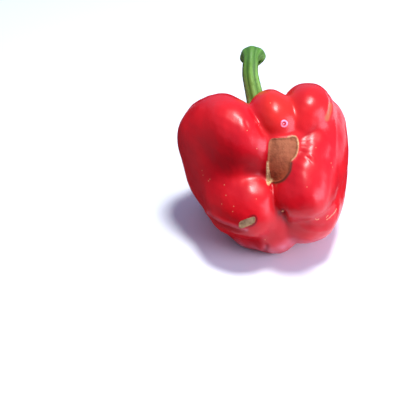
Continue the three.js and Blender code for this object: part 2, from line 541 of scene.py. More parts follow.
class NodeBench:
    """A short way to wire a material's nodes."""

    def __init__(self, name: str) -> None:
        """Start a material with its own surface shader.

        Args:
            name: Name of the material.
        """
        self.material = bpy.data.materials.new(name)
        self.material.use_nodes = True
        self.tree = self.material.node_tree
        self.shader = self.tree.nodes["Principled BSDF"]
        self.place = self.tree.nodes.new("ShaderNodeTexCoord").outputs["Object"]

    def _feed(self, socket: bpy.types.NodeSocket, value: object) -> None:
        """Link an output to a socket, or set the socket to a plain value.

        Args:
            socket: The input that is fed.
            value: An output, a number or a colour.
        """
        if isinstance(value, bpy.types.NodeSocket):
            self.tree.links.new(value, socket)
        elif isinstance(value, tuple) and len(value) == 3 and socket.type == "RGBA":
            socket.default_value = (*value, 1.0)
        else:
            socket.default_value = value

    def mark(self, mark: Mark) -> bpy.types.NodeSocket:
        """Return the value of a mark that is kept on the mesh.

        Args:
            mark: Which mark is meant.

        Returns:
            The socket that holds it.
        """
        node = self.tree.nodes.new("ShaderNodeAttribute")
        node.attribute_name = mark.value
        return node.outputs["Fac"]

    def noise(self, size: float, detail: float, rough: float) -> bpy.types.NodeSocket:
        """Return cloudy noise whose clouds are about size millimetres across.

        Args:
            size: Size of a cloud in millimetres.
            detail: How many finer layers it has.
            rough: How strong the finer layers are.

        Returns:
            The socket that holds it.
        """
        node = self.tree.nodes.new("ShaderNodeTexNoise")
        self._feed(node.inputs["Vector"], self.place)
        node.inputs["Scale"].default_value = 1.0 / (size * MM)
        node.inputs["Detail"].default_value = detail
        node.inputs["Roughness"].default_value = rough
        return node.outputs["Fac"]

    def noise_along(self, mark: Mark, detail: float) -> bpy.types.NodeSocket:
        """Return noise that is laid over a vector kept on the mesh, one cloud to a unit.

        Args:
            mark: The mark that holds the vector.
            detail: How many finer layers it has.

        Returns:
            The socket that holds it.
        """
        kept = self.tree.nodes.new("ShaderNodeAttribute")
        kept.attribute_name = mark.value
        node = self.tree.nodes.new("ShaderNodeTexNoise")
        self._feed(node.inputs["Vector"], kept.outputs["Vector"])
        node.inputs["Scale"].default_value = 1.0
        node.inputs["Detail"].default_value = detail
        return node.outputs["Fac"]

    def math(self, what: str, a: object, b: object = 0.0) -> bpy.types.NodeSocket:
        """Return the result of one operation on two values.

        Args:
            what: Name of the operation.
            a: First value.
            b: Second value.

        Returns:
            The socket that holds it.
        """
        node = self.tree.nodes.new("ShaderNodeMath")
        node.operation = what
        self._feed(node.inputs[0], a)
        self._feed(node.inputs[1], b)
        return node.outputs[0]

    def times(self, a: object, b: object) -> bpy.types.NodeSocket:
        """Return the product of two values."""
        return self.math("MULTIPLY", a, b)

    def fade(self, value: object, low: float, high: float) -> bpy.types.NodeSocket:
        """Return a soft step from 0 where the value is low to 1 where it is high.

        Args:
            value: The value that is judged.
            low: Where the step is 0.
            high: Where the step is 1; it may be the smaller one.

        Returns:
            The socket that holds it.
        """
        node = self.tree.nodes.new("ShaderNodeMapRange")
        node.interpolation_type = "SMOOTHSTEP"
        self._feed(node.inputs["Value"], value)
        swap = low > high
        node.inputs["From Min"].default_value = min(low, high)
        node.inputs["From Max"].default_value = max(low, high)
        node.inputs["To Min"].default_value = 1.0 if swap else 0.0
        node.inputs["To Max"].default_value = 0.0 if swap else 1.0
        return node.outputs["Result"]

    def edge(self, mark: Mark, uneven: object, band: Band) -> bpy.types.NodeSocket:
        """Return the soft step of a mark whose edge is made uneven."""
        return self.fade(self.math("ADD", self.mark(mark), uneven), *band)

    def _between(
        self, data_type: str, ends: str, share: object, a: object, b: object
    ) -> bpy.types.NodeSocket:
        """Return what lies between a and b, through the sockets of one kind.

        Args:
            data_type: The node's name for the kind.
            ends: The sockets' name for it.
            share: How much of b there is.
            a: First end.
            b: Second end.

        Returns:
            The socket that holds it.
        """
        node = self.tree.nodes.new("ShaderNodeMix")
        node.data_type = data_type
        sockets = {socket.identifier: socket for socket in (*node.inputs, *node.outputs)}
        self._feed(sockets["Factor_Float"], share)
        self._feed(sockets[f"A_{ends}"], a)
        self._feed(sockets[f"B_{ends}"], b)
        return sockets[f"Result_{ends}"]

    def blend(self, share: object, a: object, b: object) -> bpy.types.NodeSocket:
        """Return a colour between a and b."""
        return self._between("RGBA", "Color", share, a, b)

    def mix(self, share: object, a: object, b: object) -> bpy.types.NodeSocket:
        """Return a value between a and b."""
        return self._between("FLOAT", "Float", share, a, b)

    def set(self, socket: str, value: object) -> None:
        """Feed one input of the surface shader."""
        self._feed(self.shader.inputs[socket], value)

    def bump(self, height: object, depth: float) -> None:
        """Roughen the surface by a height map of the given depth in millimetres.

        Args:
            height: The height map.
            depth: Depth of the map in millimetres.
        """
        node = self.tree.nodes.new("ShaderNodeBump")
        node.inputs["Strength"].default_value = 1.0
        node.inputs["Distance"].default_value = depth * MM
        self._feed(node.inputs["Height"], height)
        self.set("Normal", node.outputs["Normal"])


# ------------------------------------------------------------------------------ finishes
@dataclass(frozen=True)
class SkinFinish:
    """Waxy red skin with its corky scars, pit, flecks and rust, with painted shade in its creases
    and pit, painted sheen of the table on its underside and a painted highlight ring on the dimple.

    Each fade runs from nothing at its first value to full at its second: distances in
    millimetres for the marks, shares of the noise for clouds, mottle and grain. A noise has
    the size of its clouds in millimetres, its detail and its roughness.
    """

    deep: Color = (0.62, 0.004, 0.012)
    bright: Color = (0.74, 0.008, 0.014)
    cloud_fade: Band = (0.35, 0.68)
    blush: Color = (0.80, 0.026, 0.014)
    # colour of the painted sheen, the white table's reflection
    painted_sheen: Color = (0.92, 0.46, 0.54)
    # colour of the painted shade in the creases, beside the nick and in the pit
    shade: Color = (0.17, 0.003, 0.006)
    brown: Color = (0.10, 0.03, 0.012)
    rust: Color = (0.54, 0.12, 0.045)
    rust_fade: Band = (1.9, 0.5)
    fleck: Color = (0.90, 0.40, 0.20)
    fleck_fade: Band = (0.38, 0.10)
    scratch_fade: Band = (0.35, 0.0)
    # colour of the painted highlight on the dimple
    dimple_glint: Color = (0.90, 0.52, 0.78)
    ring_radius: float = 1.45
    ring_share: float = 0.85
    ring_fade: Band = (0.62, 0.1)
    ring_breaks: Band = (0.30, 0.62)
    ring_inside: Band = (1.3, 0.5)
    glint_eye: Band = (0.42, 0.15)
    # strength of the painted shade in the pit
    pit_shade_share: float = 0.8
    pit_fade: Band = (2.4, 0.5)
    pit_eye: Band = (0.62, 0.32)
    cork_low: Color = (0.37, 0.056, 0.014)
    cork_high: Color = (0.385, 0.125, 0.052)
    cork_dark: Color = (0.17, 0.036, 0.009)
    cork_share: float = 0.6
    cork_mottle: Band = (0.45, 0.75)
    cork_grit: Band = (0.70, 0.78)
    cork_fade: Band = (0.12, -0.12)
    cream: Color = (0.78, 0.58, 0.26)
    cream_patches: Band = (0.62, 0.80)
    cream_left: float = 0.45
    nick: Color = (0.44, 0.31, 0.15)
    nick_dark: Color = (0.21, 0.12, 0.045)
    nick_mottle: Band = (0.45, 0.70)
    nick_fade: Band = (0.1, -0.2)
    raggedness: float = 0.7
    clouds: Noise = (22.0, 2.0, 0.5)
    grain: Noise = (0.9, 4.0, 0.6)
    mottle: Noise = (3.4, 3.0, 0.55)
    wax: Noise = (0.7, 2.0, 0.5)
    sheen: Band = (0.26, 0.36)
    dry_roughness: float = 0.85
    ior: float = 1.42
    relief: float = 0.25
    wax_relief: float = 0.10

    def _red(self, bench: NodeBench, cloud: object, ragged: object) -> bpy.types.NodeSocket:
        """Return the red of the skin with painted shade in its creases, painted sheen, rust and
        flecks.

        Args:
            bench: Where the material is wired.
            cloud: Large noise.
            ragged: Unevenness for the edges, in millimetres.

        Returns:
            The socket that holds it.
        """
        color = bench.blend(bench.fade(cloud, *self.cloud_fade), self.deep, self.bright)
        color = bench.blend(bench.mark(Mark.BLUSH), color, self.blush)
        # painted shade: the creases' dark share lays the shade colour into the folds, the valley
        # and around the pit
        color = bench.blend(bench.mark(Mark.CREASE), color, self.shade)
        # painted sheen: the table's reflection under the chin, along the lip and under the right
        # flank
        color = bench.blend(bench.mark(Mark.BLOOM), color, self.painted_sheen)
        color = bench.blend(bench.edge(Mark.RUST, ragged, self.rust_fade), color, self.rust)
        color = bench.blend(bench.fade(bench.mark(Mark.FLECK), *self.fleck_fade), color, self.fleck)
        return bench.blend(bench.edge(Mark.SCRATCH, ragged, self.scratch_fade), color, self.fleck)

    def _ring_and_pit(
        self, bench: NodeBench, color: object, mottle: object
    ) -> bpy.types.NodeSocket:
        """Return the colour with the dimple's painted highlight ring and the pit's painted shade
        and cream eye laid over it.

        Args:
            bench: Where the material is wired.
            color: Colour of the skin so far.
            mottle: Noise that breaks the ring up.

        Returns:
            The socket that holds it.
        """
        # painted highlight: a pale ring round the dimple, broken by the mottle, with a pale glint
        # in its middle; the inside is laid in the deeper red
        dimple = bench.mark(Mark.DIMPLE)
        ring = bench.math("ABSOLUTE", bench.math("SUBTRACT", dimple, self.ring_radius))
        breaks = bench.fade(mottle, *self.ring_breaks)
        ring = bench.times(bench.fade(ring, *self.ring_fade), breaks)
        color = bench.blend(bench.fade(dimple, *self.ring_inside), color, self.deep)
        color = bench.blend(bench.times(ring, self.ring_share), color, self.dimple_glint)
        color = bench.blend(bench.fade(dimple, *self.glint_eye), color, self.dimple_glint)
        # painted shade in the pit, then its cream eye
        pit = bench.mark(Mark.PIT)
        pit_shade = bench.times(bench.fade(pit, *self.pit_fade), self.pit_shade_share)
        color = bench.blend(pit_shade, color, self.shade)
        return bench.blend(bench.fade(pit, *self.pit_eye), color, self.cream)

    def _cork(self, bench: NodeBench, grain: object, mottle: object) -> bpy.types.NodeSocket:
        """Return the mottled brown of the large scar.

        Args:
            bench: Where the material is wired.
            grain: Fine noise.
            mottle: Middling noise.

        Returns:
            The socket that holds it.
        """
        cork = bench.blend(bench.mark(Mark.SCAR_LIFT), self.cork_low, self.cork_high)
        dark = bench.times(bench.fade(mottle, *self.cork_mottle), self.cork_share)
        cork = bench.blend(dark, cork, self.cork_dark)
        return bench.blend(bench.fade(grain, *self.cork_grit), cork, self.cream)

    def build(self) -> bpy.types.Material:
        """Wire the material and return it."""
        bench = NodeBench("red_skin")
        cloud = bench.noise(*self.clouds)
        grain = bench.noise(*self.grain)
        mottle = bench.noise(*self.mottle)
        ragged = bench.times(bench.math("SUBTRACT", grain, 0.5), self.raggedness)
        color = self._ring_and_pit(bench, self._red(bench, cloud, ragged), mottle)

        scar = bench.edge(Mark.SCAR, ragged, self.cork_fade)
        color = bench.blend(scar, color, self._cork(bench, grain, mottle))
        patchy = bench.math("ADD", grain, bench.times(mottle, 0.5))
        patchy = bench.mix(bench.fade(patchy, *self.cream_patches), 1.0, self.cream_left)
        rim = bench.times(bench.mark(Mark.SCAR_RIM), patchy)
        color = bench.blend(rim, color, self.cream)
        color = bench.blend(bench.mark(Mark.SCAR_SHADE), color, self.brown)
        color = bench.blend(bench.mark(Mark.NICK_SHADE), color, self.shade)
        nick = bench.edge(Mark.NICK, ragged, self.nick_fade)
        beige = bench.blend(bench.fade(mottle, *self.nick_mottle), self.nick, self.nick_dark)
        bench.set("Base Color", bench.blend(nick, color, beige))

        dry = bench.math("MAXIMUM", bench.math("MAXIMUM", scar, rim), nick)
        bench.set("Roughness", bench.mix(dry, bench.mix(cloud, *self.sheen), self.dry_roughness))
        bench.set("IOR", self.ior)
        wax = bench.times(bench.noise(*self.wax), self.wax_relief)
        bench.bump(bench.mix(dry, wax, grain), self.relief)
        return bench.material


@dataclass(frozen=True)
class GreenFinish:
    """Fresh green of the calyx or the stem, with lengthwise fibres and a dry cut end.

    Each fade runs from nothing at its first value to full at its second.
    """

    name: str
    base: Color = (0.18, 0.43, 0.058)
    light: Color = (0.34, 0.68, 0.15)
    dark: Color = (0.048, 0.15, 0.017)
    dry: Color = (0.27, 0.17, 0.07)
    groove_fade: Band = (0.05, 0.6)
    crest_share: float = 0.8
    crest_fade: Band = (0.70, 1.0)
    crest_patches: Band = (0.25, 0.55)
    pale_share: float = 0.5
    pale_fade: Band = (-0.2, 0.7)
    pale_fibres: Band = (0.52, 0.72)
    dark_share: float = 0.4
    dark_fibres: Band = (0.45, 0.28)
    dry_fade: Band = (0.35, 0.65)
    clouds: Noise = (5.0, 3.0, 0.5)
    fine: Noise = (0.6, 3.0, 0.6)
    fibre_detail: float = 3.0
    roughness: float = 0.48
    dry_roughness: float = 0.85
    ior: float = 1.4
    relief: float = 0.16

    def build(self) -> bpy.types.Material:
        """Wire the material and return it."""
        bench = NodeBench(self.name)
        cloud = bench.noise(*self.clouds)
        fine = bench.noise(*self.fine)
        fibre = bench.noise_along(Mark.FIBRE, self.fibre_detail)
        ridge = bench.mark(Mark.RIDGE_AND_LIGHT)
        # the ridge mark picks the greens; on the stem it also carries painted light, lighter at the
        # foot and darker at the top
        green = bench.blend(bench.fade(ridge, *self.groove_fade), self.dark, self.base)
        patches = bench.fade(cloud, *self.crest_patches)
        crest = bench.times(bench.fade(ridge, *self.crest_fade), patches)
        green = bench.blend(bench.times(crest, self.crest_share), green, self.light)
        lit = bench.times(bench.fade(ridge, *self.pale_fade), self.pale_share)
        pale = bench.times(bench.fade(fibre, *self.pale_fibres), lit)
        green = bench.blend(pale, green, self.light)
        deep = bench.times(bench.fade(fibre, *self.dark_fibres), self.dark_share)
        green = bench.blend(deep, green, self.dark)
        dry = bench.edge(Mark.DRY, bench.math("SUBTRACT", fine, 0.5), self.dry_fade)
        bench.set("Base Color", bench.blend(dry, green, self.dry))
        bench.set("Roughness", bench.mix(dry, self.roughness, self.dry_roughness))
        bench.set("IOR", self.ior)
        bench.bump(bench.math("ADD", fibre, bench.times(fine, 0.5)), self.relief)
        return bench.material


@dataclass(frozen=True)
class TableFinish:
    """Plain white matt table, which throws less light back on the fruit than it shows."""

    color: Color = (0.89, 0.95, 1.0)
    thrown: Color = (0.66, 0.62, 0.70)
    roughness: float = 0.9

    def build(self) -> bpy.types.Material:
        """Wire the material and return it."""
        bench = NodeBench("white_table")
        path = bench.tree.nodes.new("ShaderNodeLightPath").outputs
        seen = bench.math("MAXIMUM", path["Is Camera Ray"], path["Is Glossy Ray"])
        bench.set("Base Color", bench.blend(seen, self.thrown, self.color))
        bench.set("Roughness", self.roughness)
        return bench.material


# ------------------------------------------------------------------------------ the flesh
@dataclass(frozen=True)
class Fold:
    """A ridge or a crease of the skin along a line on the blossom face, in millimetres; its dark
    share paints shade along it.
    """

    line: Outline
    height: float
    width: float
    # share of painted shade laid along the fold
    dark: float = 0.0
    fades_in: float = 0.2
    fades_out: float = 0.3
    lead: float = 0.01

    def at(self, points: np.ndarray) -> np.ndarray:
        """Return how much of the fold there is at each point.

        Args:
            points: Positions in the fruit's frame, one row each.

        Returns:
            Shares from 0 to 1.
        """
        gap, along = to_line(points, self.line)
        fade = smooth_step(along, -self.lead, self.fades_in)
        fade *= smooth_step(1.0 - along, -self.lead, self.fades_out)
        return bell(gap, self.width) * fade


@dataclass(frozen=True)
class SheenLine:
    """A painted sheen along a line on the blossom face, standing for the white table's reflection,
    in millimetres.
    """

    line: Outline
    width: float
    strength: float

    def at(self, points: np.ndarray) -> np.ndarray:
        """Return how much painted sheen there is at each point."""
        return self.strength * bell(to_line(points, self.line)[0], self.width)


@dataclass(frozen=True)
class Swell:
    """A smooth unevenness; its height and length are in millimetres."""

    height: float
    length: float
    seed: int

    def at(self, points: np.ndarray) -> np.ndarray:
        """Return the unevenness at each point."""
        return self.height * waves(points, self.length, self.seed)


@dataclass(frozen=True)
class Step:
    """A rise, or a fall when it is negative, and the width it takes, in millimetres."""

    rise: float
    width: float

    def bank(self, depth: np.ndarray) -> np.ndarray:
        """Return the height at a depth inside an edge."""
        return self.rise * smooth_step(depth, 0.0, self.width)

    def ridge(self, gap: np.ndarray) -> np.ndarray:
        """Return the height at a distance from a line or a spot."""
        return self.rise * bell(gap, self.width)


@dataclass(frozen=True)
class Window:
    """A soft-edged part of the blossom face, none to full across and up it, in millimetres."""

    across: Band
    upward: Band

    def at(self, points: np.ndarray) -> np.ndarray:
        """Return how far each point belongs to the part."""
        return smooth_step(points[:, 0], *self.across) * smooth_step(points[:, 1], *self.upward)


@dataclass(frozen=True)
class Relief:
    """How the marks rise out of the skin or sink into it."""

    swell: Swell = Swell(0.16, 11.0, 3)
    ripple: Swell = Swell(0.03, 4.2, 5)
    scar: Step = Step(-0.55, 1.1)
    scar_brim: Step = Step(0.10, 0.7)
    scar_grit: Swell = Swell(0.05, 2.4, 7)
    grit_bank: Step = Step(1.0, 0.6)
    nick: Step = Step(-0.35, 0.7)
    nick_brim: Step = Step(0.16, 0.5)
    pit: Step = Step(-0.5, 1.2)
    dimple: Step = Step(-0.3, 0.9)
    dimple_ring: Step = Step(0.16, 0.6)
    dimple_radius: float = 1.5


@dataclass(frozen=True)
class Tints:
    """Where the edges, the painted shades and the painted sheen of the marks lie, none to full, in
    millimetres.
    """

    far: float = 6.0
    rim_left: Window = Window((4.2, 2.8), (2.6, 0.8))
    rim_left_edge: Band = (-0.4, 0.1)
    rim_left_width: float = 0.5
    rim_left_low: float = 1.2
    rim_low: Band = (0.0, -7.0)
    rim_right: Window = Window((10.0, 11.5), (1.2, 2.6))
    rim_right_edge: Band = (-0.5, -0.25)
    rim_right_share: float = 0.7
    rim_outside: Band = (0.5, 0.2)
    scar_shade: Window = Window((3.0, 5.0), (2.2, 0.8))
    scar_shade_off: float = 0.3
    scar_shade_width: float = 0.55
    scar_slant: float = 0.35
    scar_lift: Band = (-8.0, 15.0)
    nick_shade: Band = (-10.5, -6.0)
    nick_shade_off: float = 0.45
    nick_shade_width: float = 0.5
    crown: Window = Window((-6.0, 2.0), (8.0, 24.0))
    crown_right: Band = (11.0, 18.0)
    crown_right_loss: float = 0.7
    crown_front: Band = (-8.0, 2.0)
    crown_share: float = 0.7
    sheen_front: Band = (-13.0, -4.0)
    sheen_share: float = 0.8
    sheen_patches: Swell = Swell(0.2, 5.0, 11)


@dataclass(frozen=True)
class Blemishes:
    """Where the marks of the skin lie on the blossom face, in millimetres."""

    scar: Outline = (
        (3.2, 12.6), (1.6, 10.4), (1.2, 6.0), (0.9, -1.5), (1.0, -7.4), (1.6, -9.2), (3.0, -7.9),
        (5.6, -8.1), (8.4, -6.5), (11.0, -2.8), (12.0, 1.6), (14.4, 4.6), (15.6, 8.4),
        (15.2, 12.6), (13.4, 13.9), (9.6, 13.1),
    )
    nick: Outline = (
        (-12.5, -27.4), (-11.4, -26.2), (-6.4, -24.4), (-5.0, -24.9), (-5.0, -26.5), (-6.5, -28.1),
        (-11.4, -29.7), (-12.5, -28.8),
    )
    pit: Spot = (7.6, -22.4)
    dimple: Spot = (8.8, 19.6)
    rust: Outline = ((32.1, 29.8), (31.6, 26.6), (29.7, 22.6))
    flecks: Outline = (
        (2.5, 29.6), (-26.2, -6.4), (-26.8, -7.2), (-19.4, -9.2), (-18.6, -14.3), (-7.3, -10.2),
        (-30.0, -2.1), (-29.5, -4.4), (-15.5, -21.9), (-15.1, -19.5), (-20.6, -18.4),
        (18.6, -10.5), (31.2, 1.0), (31.9, -0.9), (23.8, 8.3), (8.6, -1.2), (0.6, -35.7),
        (-8.8, 16.2), (-4.5, -16.0), (-4.2, 7.7),
    )
    scratches: tuple[Outline, ...] = (
        ((35.3, -20.6), (34.2, -22.2), (32.9, -23.6), (31.4, -25.1), (29.9, -26.1)),
        ((30.6, -23.9), (29.6, -24.9)),
        ((25.6, -25.6), (24.4, -25.9), (23.6, -25.2)),
    )
    # the fourth value of a fold is its share of painted shade in the crease
    folds: tuple[Fold, ...] = (
        Fold(((-28.6, -21.2), (-24.6, -24.4), (-19.4, -27.2), (-14.0, -29.0), (-8.0, -30.3),
              (-4.5, -29.5)), 0.55, 1.1),
        Fold(((-28.0, -23.4), (-23.4, -26.8), (-18.6, -29.2), (-13.6, -31.0), (-7.0, -32.2)),
             -0.7, 1.1, 0.35),
        # painted shade in the creases around the pit
        Fold(((8.2, -22.0), (9.4, -24.6), (11.0, -27.6), (12.2, -31.0)), -0.7, 1.1, 0.8, 0.05, 0.8),
        Fold(((8.4, -22.4), (6.6, -20.6), (5.4, -17.8)), -0.4, 1.0, 0.6, 0.05, 0.8),
        Fold(((1.3, -37.2), (1.5, -40.0), (1.0, -43.5)), -0.8, 1.2, 0.3, 0.4, 0.05),
        Fold(((15.3, 12.4), (18.5, 13.2), (22.6, 16.6), (27.0, 20.6)), -0.18, 1.4, 0.3, 0.2, 0.5),
        Fold(((15.8, 11.0), (19.0, 11.2), (23.4, 13.4)), -0.09, 0.5, 0.12, 0.5, 0.5),
        Fold(((15.8, 9.2), (19.6, 8.6), (23.0, 9.6)), -0.08, 0.5, 0.1, 0.5, 0.5),
        Fold(((15.4, 7.2), (18.2, 6.0), (21.4, 6.4)), -0.08, 0.5, 0.08, 0.5, 0.5),
        Fold(((18.2, 4.6), (20.4, 2.6), (22.4, -0.4)), -0.22, 0.6, 0.0, 0.3, 0.5),
        Fold(((20.2, 5.4), (22.4, 3.2), (24.0, 0.6)), 0.18, 0.6, 0.0, 0.3, 0.5),
        Fold(((31.2, 37.0), (32.6, 32.0), (32.0, 27.0), (30.2, 22.6)), -0.7, 1.1, 0.0, 0.1, 0.3),
        Fold(((34.2, 27.0), (34.4, 20.0), (34.0, 12.0), (33.8, 0.0)), 0.25, 0.9, 0.0, 0.3, 0.6),
        # painted shade along the valley between the left lobe and the cheek below it
        Fold(((-28.0, 4.0), (-20.0, 1.5), (-12.0, 0.4), (-4.0, -0.6), (0.5, -2.0)), -0.3, 4.2, 0.5,
             0.5, 0.1),
        Fold(((-10.2, 22.0), (-8.4, 17.4), (-7.4, 14.2)), -0.12, 0.9, 0.0, 0.2, 0.3),
        Fold(((-3.6, 19.8), (-2.0, 16.2), (0.0, 13.4)), -0.4, 1.0, 0.1, 0.2, 0.3),
        # painted shade deepening the furrow next to the scar
        Fold(((-15.0, -0.6), (-9.0, -1.8), (-3.0, -3.2), (2.8, -4.6)), 0.0, 2.8, 0.66, 0.4, 0.02),
        Fold(((13.6, -27.3), (20.5, -30.7), (26.8, -31.7), (32.7, -30.7), (36.6, -27.3)), 0.22, 1.0,
             0.0, 0.3, 0.3),
        Fold(((15.6, -25.0), (21.5, -28.2), (27.4, -29.2), (33.0, -27.8)), -0.20, 1.2, 0.12,
             0.3, 0.3),
    )
    # lines of painted sheen: the white table's reflection under the chin, along the lip and under
    # the right flank
    sheen_lines: tuple[SheenLine, ...] = (
        SheenLine(((-13.0, -38.6), (-8.0, -40.8), (-2.0, -42.0), (4.6, -42.0), (10.1, -39.8),
              (14.5, -37.0)), 2.4, 0.42),
        SheenLine(((-27.0, -22.6), (-24.6, -24.4), (-19.4, -27.2), (-14.0, -29.0), (-9.0, -30.6)),
             0.8, 0.30),
        SheenLine(((17.0, -36.8), (22.0, -37.3), (27.0, -36.8), (31.0, -34.6)), 1.8, 0.18),
    )


@dataclass
class Flesh:
    """The fruit body: lobes, furrows, blossom end and marks, as one skin.

    A ball of quads is shrunk onto the lobes, evened, given its relief and then placed.
    """

    lobes: Lobes
    marks: Blemishes = Blemishes()
    relief: Relief = Relief()
    tints: Tints = Tints()
    finish: SkinFinish = SkinFinish()
    edge_quads: int = 128
    face_share: float = 0.28
    heart: Place = (2.0, 0.0, 0.0)
    ball: float = 75.0
    even_rounds: int = 7
    even_pace: float = 0.6
    least_slope: float = 0.05
    face_slant: float = 0.02
    face_edge: Band = (-0.1, 0.1)
    rest_dip: float = 1.0

    def _shrink(self, rays: np.ndarray) -> np.ndarray:
        """Shrink a ball onto the skin along its rays from the heart."""
        start = np.array(self.heart) + self.ball * rays
        return start - rays * self.lobes.march(start, -rays)[:, None]

    def _even(self, points: np.ndarray, quads: np.ndarray) -> np.ndarray:
        """Slide the points over the skin until they are evenly spread.

        Args:
            points: Skin points in the fruit's frame.
            quads: Row numbers of each quad.

        Returns:
            The points in their new places.
        """
        edges = np.concatenate([quads[:, [k, (k + 1) % 4]] for k in range(4)])
        edges = np.unique(np.sort(edges, axis=1), axis=0)
        size = len(points)
        count = np.bincount(edges.ravel(), minlength=size)[:, None]
        for _ in range(self.even_rounds):
            mean = np.stack(
                [
                    np.bincount(edges[:, 0], points[edges[:, 1], c], size)
                    + np.bincount(edges[:, 1], points[edges[:, 0], c], size)
                    for c in range(3)
                ],
                axis=1,
            ) / count
            slope = self.lobes.gradient(points)
            up = unit(slope)
            step = mean - points
            step -= up * (step * up).sum(axis=1, keepdims=True)
            points = points + self.even_pace * step
            steep = np.maximum((slope**2).sum(axis=1), self.least_slope)
            points = points - slope * (self.lobes.distance(points) / steep)[:, None]
        return points

    def _relief(self, points: np.ndarray, facing: np.ndarray) -> np.ndarray:
        """Measure how far each point stands out of or sinks into the smooth skin.

        Args:
            points: Skin points in the fruit's frame.
            facing: 1 where the skin belongs to the blossom face, 0 at the back.

        Returns:
            Height in millimetres, positive outwards.
        """
        marks, relief = self.marks, self.relief
        scar, nick = to_outline(points, marks.scar), to_outline(points, marks.nick)
        dimple = to_spot(points, marks.dimple)
        height = relief.scar.bank(-scar) + relief.scar_brim.ridge(scar)
        height += relief.grit_bank.bank(-scar) * relief.scar_grit.at(points)
        height += relief.nick.bank(-nick) + relief.nick_brim.ridge(nick)
        height += relief.pit.ridge(to_spot(points, marks.pit)) + relief.dimple.ridge(dimple)
        height += relief.dimple_ring.ridge(dimple - relief.dimple_radius)
        for fold in marks.folds:
            height += fold.height * fold.at(points)
        return relief.swell.at(points) + relief.ripple.at(points) + facing * height

    def _rim(self, points: np.ndarray, scar: np.ndarray) -> np.ndarray:
        """Return the share of cream along the left and the upper right edge of the scar.

        Args:
            points: Positions in the fruit's frame, one row each.
            scar: Distance of each point to the scar's outline.

        Returns:
            Shares from 0 to 1.
        """
        t = self.tints
        sliver = t.rim_left_width + t.rim_left_low * smooth_step(points[:, 1], *t.rim_low)
        left = t.rim_left.at(points) * smooth_step(scar + sliver, *t.rim_left_edge)
        right = t.rim_right.at(points) * smooth_step(scar, *t.rim_right_edge)
        return (left + t.rim_right_share * right) * smooth_step(scar, *t.rim_outside)

    def _blush(self, points: np.ndarray) -> np.ndarray:
        """Return the share of the lighter red on the crown of the face.

        Args:
            points: Positions in the fruit's frame, one row each.

        Returns:
            Shares from 0 to 1.
        """
        t = self.tints
        crown = t.crown.at(points)
        crown *= 1.0 - t.crown_right_loss * smooth_step(points[:, 0], *t.crown_right)
        return t.crown_share * crown * smooth_step(points[:, 2], *t.crown_front)

    def _painted_sheen(self, points: np.ndarray) -> np.ndarray:
        """Return the share of painted sheen, the white table's reflection on the underside, a
        little patchy.

        Args:
            points: Positions in the fruit's frame, one row each.

        Returns:
            Shares from 0 to 1.
        """
        t = self.tints
        painted_sheen = np.max([haze.at(points) for haze in self.marks.sheen_lines], axis=0)
        patchy = t.sheen_share + t.sheen_patches.at(points)
        return np.clip(painted_sheen * smooth_step(points[:, 2], *t.sheen_front) * patchy, 0.0, 1.0)

    def _marks(self, points: np.ndarray, facing: np.ndarray) -> dict[Mark, np.ndarray]:
        """Measure the painted features at each point.

        Args:
            points: Positions in the fruit's frame, one row each.
            facing: 1 where the skin belongs to the blossom face.

        Returns:
            Values at the points, by mark.
        """
        marks, t = self.marks, self.tints
        x, y = points[:, 0], points[:, 1]
        scar, nick = to_outline(points, marks.scar), to_outline(points, marks.nick)
        scar_shade = bell(scar - t.scar_shade_off, t.scar_shade_width)
        nick_shade = bell(nick - t.nick_shade_off, t.nick_shade_width)
        gaps = {
            Mark.SCAR: scar,
            Mark.NICK: nick,
            Mark.PIT: to_spot(points, marks.pit),
            Mark.DIMPLE: to_spot(points, marks.dimple),
            Mark.FLECK: np.min([to_spot(points, fleck) for fleck in marks.flecks], axis=0),
            Mark.SCRATCH: np.min([to_line(points, line)[0] for line in marks.scratches], axis=0),
            Mark.RUST: to_line(points, marks.rust)[0],
        }
        shares = {
            Mark.SCAR_RIM: self._rim(points, scar),
            Mark.SCAR_SHADE: scar_shade * t.scar_shade.at(points),
            Mark.NICK_SHADE: nick_shade * smooth_step(x, *t.nick_shade),
            # painted shade along the folds
            Mark.CREASE: np.max([fold.dark * fold.at(points) for fold in marks.folds], axis=0),
        }
        front = facing > 0.5
        near = {mark: np.clip(gap, -t.far, t.far) for mark, gap in gaps.items()}
        return {
            **{mark: np.where(front, gap, t.far) for mark, gap in near.items()},
            **{mark: np.where(front, share, 0.0) for mark, share in shares.items()},
            Mark.SCAR_LIFT: smooth_step(y + t.scar_slant * x, *t.scar_lift),
            Mark.BLUSH: self._blush(points),
            # painted sheen of the table on the underside
            Mark.BLOOM: self._painted_sheen(points),
        }

    def build(self) -> tuple[bpy.types.Object, FruitFrame]:
        """Make, seat and dress the fruit body.

        Returns:
            The piece, and the frame that the other pieces are placed by.
        """
        rays, quads = quad_sphere(self.edge_quads)
        rays = unit(rays + np.array([0.0, 0.0, self.face_share]))
        points = self._even(self._shrink(rays), quads)
        place = FruitFrame().seated_on(points, "flesh", self.rest_dip)
        up = unit(self.lobes.gradient(points))
        facing = smooth_step(up[:, 2] + self.face_slant * points[:, 2], *self.face_edge)
        marks = self._marks(points, facing)
        points = points + up * self._relief(points, facing)[:, None]
        row = place.placed(points)
        row[:, 2] = np.maximum(row[:, 2], 0.0)
        piece = add_piece("pepper_flesh", row, quads, marks)
        piece.data.materials.append(self.finish.build())
        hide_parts("flesh")
        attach(piece, BODY)
        LOG.info("flesh: %d points", len(row))
        return piece, place


